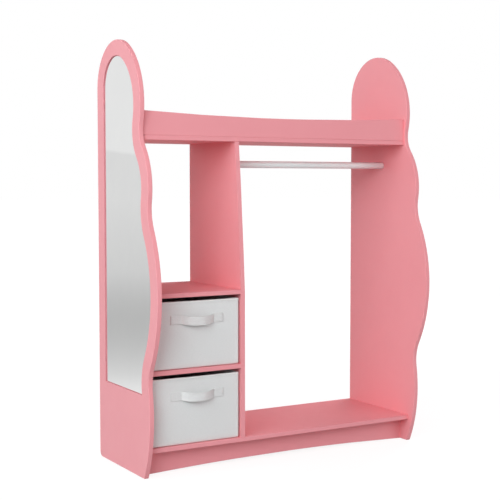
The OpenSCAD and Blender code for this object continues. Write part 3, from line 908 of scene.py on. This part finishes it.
WALL_SEEN = 0.728  # the room's brightness in sharp reflections, under and over the ceiling line
CEILING_SEEN = 0.817
CEILING_NORMAL = (-0.114, -0.077, 1.0)
COOL = (0.87, 1.0, 1.0)
WARM = (1.0, 0.85, 0.86)
PALE = (1.0, 0.91, 0.92)
LAMPS = [  # name, place, diameter, power, tint
    ("key_light", (-3.2, -2.7, 2.0), 2.5, 100, COOL),
    ("left_light", (-4, -0.6, 1.0), 2.5, 20, COOL),
    ("high_light", (-3.2, -1.2, 3.0), 2.2, 55, COOL),
    ("front_light", (0.3, -3.4, 2.8), 2.5, 19, WARM),
    ("fill_light", (2.2, -3.6, 1.4), 2.5, 42, WARM),
    ("rim_light", (2.6, 1.2, 3.8), 1.6, 60, PALE),
    ("back_light", (3.2, 2.6, 1.4), 2.5, 55, PALE),
]
LAMP_AIM = (0, 0, 0.55)
CAMERA_PLACE = (-1.57099, -2.57703, 0.73805)
CAMERA_AZIMUTH = math.radians(-30.466)
CAMERA_ELEVATION = math.radians(3.527)


def show_floor():
    """A pale floor: white to the camera, softly lit for the object, and with one soft dark ring in
    reflections."""
    bpy.ops.mesh.primitive_circle_add(
        vertices=96, radius=FLOOR_RADIUS, fill_type="NGON", location=(0, 0, 0)
    )
    floor = bpy.context.object
    floor.name = "floor"
    material = bpy.data.materials.new("pale_floor")
    material.use_nodes = True
    tree = material.node_tree
    tree.nodes.clear()
    rays = place(tree, "LightPath").outputs
    bounce = place(tree, "BsdfDiffuse", {"Color": FLOOR_GREY}).outputs[0]
    glow = place(tree, "Emission", {"Strength": FLOOR_GLOW}).outputs[0]
    lit = place(tree, "AddShader", {0: bounce, 1: glow}).outputs[0]
    shadowed = place(tree, "BsdfDiffuse", {"Color": SHADOW_GREY}).outputs[0]
    where = place(tree, "TexCoord").outputs["Object"]
    way_out = place(tree, "VectorMath", {0: where}, operation="LENGTH").outputs["Value"]
    white = place(tree, "Emission", {"Strength": range_of(tree, way_out, *PAPER)}).outputs[0]
    seen = place(tree, "AddShader", {0: shadowed, 1: white}).outputs[0]
    doublings = math_of(tree, "LOGARITHM", way_out, 2.0)
    ring = place(tree, "ValToRGB", {0: math_of(tree, "DIVIDE", doublings, SHEEN_DOUBLINGS)})
    ring.color_ramp.interpolation = "CARDINAL"
    stops = ring.color_ramp.elements
    while len(stops) < len(FLOOR_SHEEN):
        stops.new(0.5)
    for stop, (share, level) in zip(stops, FLOOR_SHEEN):
        stop.position = share
        stop.color = (level, level, level, 1)
    mirrored = place(tree, "Emission", {"Color": ring.outputs[0], "Strength": 1.0}).outputs[0]
    by_camera = place(tree, "MixShader", {0: rays["Is Camera Ray"], 1: lit, 2: seen}).outputs[0]
    result = place(tree, "MixShader", {0: rays["Is Glossy Ray"], 1: by_camera, 2: mirrored}).outputs[0]
    out = place(tree, "OutputMaterial", {0: result})
    out.is_active_output = True
    floor.data.materials.append(material)


def facing(tree, look, direction, low, high):
    """How much a view direction turns towards another, between two cosines, as 0 to 1."""
    towards = Vector(direction).normalized()
    turned = place(tree, "VectorMath", {0: look, 1: towards}, operation="DOT_PRODUCT")
    return range_of(tree, turned.outputs["Value"], low, high, 0.0, 1.0)


def backdrop(tree, strength):
    """A white background of this brightness."""
    return place(tree, "Background", {"Color": WHITE, "Strength": strength}).outputs[0]


def light_room():
    """White to the camera. The room's own light is soft: it comes from behind, the front and the
    left, and a little from above. Soft gloss sees bright walls behind, at the front and at the
    left, and sharp reflections a plain room with a ceiling line."""
    world = bpy.data.worlds.new("white_room")
    bpy.context.scene.world = world
    world.use_nodes = True
    tree = world.node_tree
    tree.nodes.clear()
    rays = place(tree, "LightPath").outputs
    look = place(tree, "TexCoord").outputs["Generated"]
    behind = facing(tree, look, (0, 1, 0), 0.0, 1.0)
    before = facing(tree, look, (0, -1, 0), 0.0, 1.0)
    leftward = facing(tree, look, (-1, 0, 0), 0.0, 1.0)
    above = facing(tree, look, (0, 0, 1), 0.0, 1.0)
    glow = math_of(tree, "MULTIPLY", behind, ROOM_BEHIND)
    glow = math_of(tree, "MULTIPLY_ADD", leftward, ROOM_LEFT, glow)
    glow = math_of(tree, "MULTIPLY_ADD", above, ROOM_ABOVE, glow)
    glow = math_of(tree, "MULTIPLY_ADD", before, ROOM_BEFORE, glow)
    light = backdrop(tree, glow)
    walls = math_of(tree, "MULTIPLY", before, WALL_BEFORE)
    straight_behind = math_of(tree, "MULTIPLY", behind, behind)
    walls = math_of(tree, "MULTIPLY_ADD", straight_behind, WALL_BEHIND, walls)
    straight_left = math_of(tree, "MULTIPLY", leftward, leftward)
    walls = math_of(tree, "MULTIPLY_ADD", straight_left, WALL_LEFT, walls)
    ceiling = facing(tree, look, CEILING_NORMAL, 0.0, 0.003)
    room = range_of(tree, ceiling, 0.0, 1.0, WALL_SEEN, CEILING_SEEN)
    sheen = place(tree, "Mix", {0: rays["Is Singular Ray"], 2: walls, 3: room}).outputs[0]
    mirrored = backdrop(tree, sheen)
    white = backdrop(tree, 1.0)
    through = math_of(tree, "MAXIMUM", rays["Is Camera Ray"], rays["Is Transmission Ray"])
    seen = place(tree, "MixShader", {0: rays["Is Glossy Ray"], 1: light, 2: mirrored}).outputs[0]
    result = place(tree, "MixShader", {0: through, 1: seen, 2: white}).outputs[0]
    place(tree, "OutputWorld", {0: result})


def hang_softbox(name, place_at, size, power, tint):
    """A round soft lamp. The room's walls stand in for its glint, so gloss doesn't show it twice."""
    lamp = bpy.data.lights.new(name, "AREA")
    lamp.shape = "DISK"
    lamp.size = size
    lamp.energy = power
    lamp.color = tint
    box = bpy.data.objects.new(name, lamp)
    bpy.context.scene.collection.objects.link(box)
    box.location = place_at
    box.rotation_mode = "QUATERNION"
    box.rotation_quaternion = (Vector(LAMP_AIM) - Vector(place_at)).to_track_quat("-Z", "Y")
    box.visible_glossy = False


def set_camera():
    """The camera, turned from the front by its azimuth and looking down by its elevation."""
    level = math.cos(CAMERA_ELEVATION)
    back = Vector(
        (
            math.sin(CAMERA_AZIMUTH) * level,
            -math.cos(CAMERA_AZIMUTH) * level,
            math.sin(CAMERA_ELEVATION),
        )
    )
    data = bpy.data.cameras.new("camera")
    data.lens = 80
    data.sensor_width = 36
    camera = bpy.data.objects.new("camera", data)
    bpy.context.scene.collection.objects.link(camera)
    camera.location = CAMERA_PLACE
    camera.rotation_mode = "QUATERNION"
    camera.rotation_quaternion = (-back).to_track_quat("-Z", "Y")
    bpy.context.scene.camera = camera


show_floor()
light_room()
for lamp in LAMPS:
    hang_softbox(*lamp)
set_camera()
bpy.context.scene.view_settings.view_transform = "Standard"
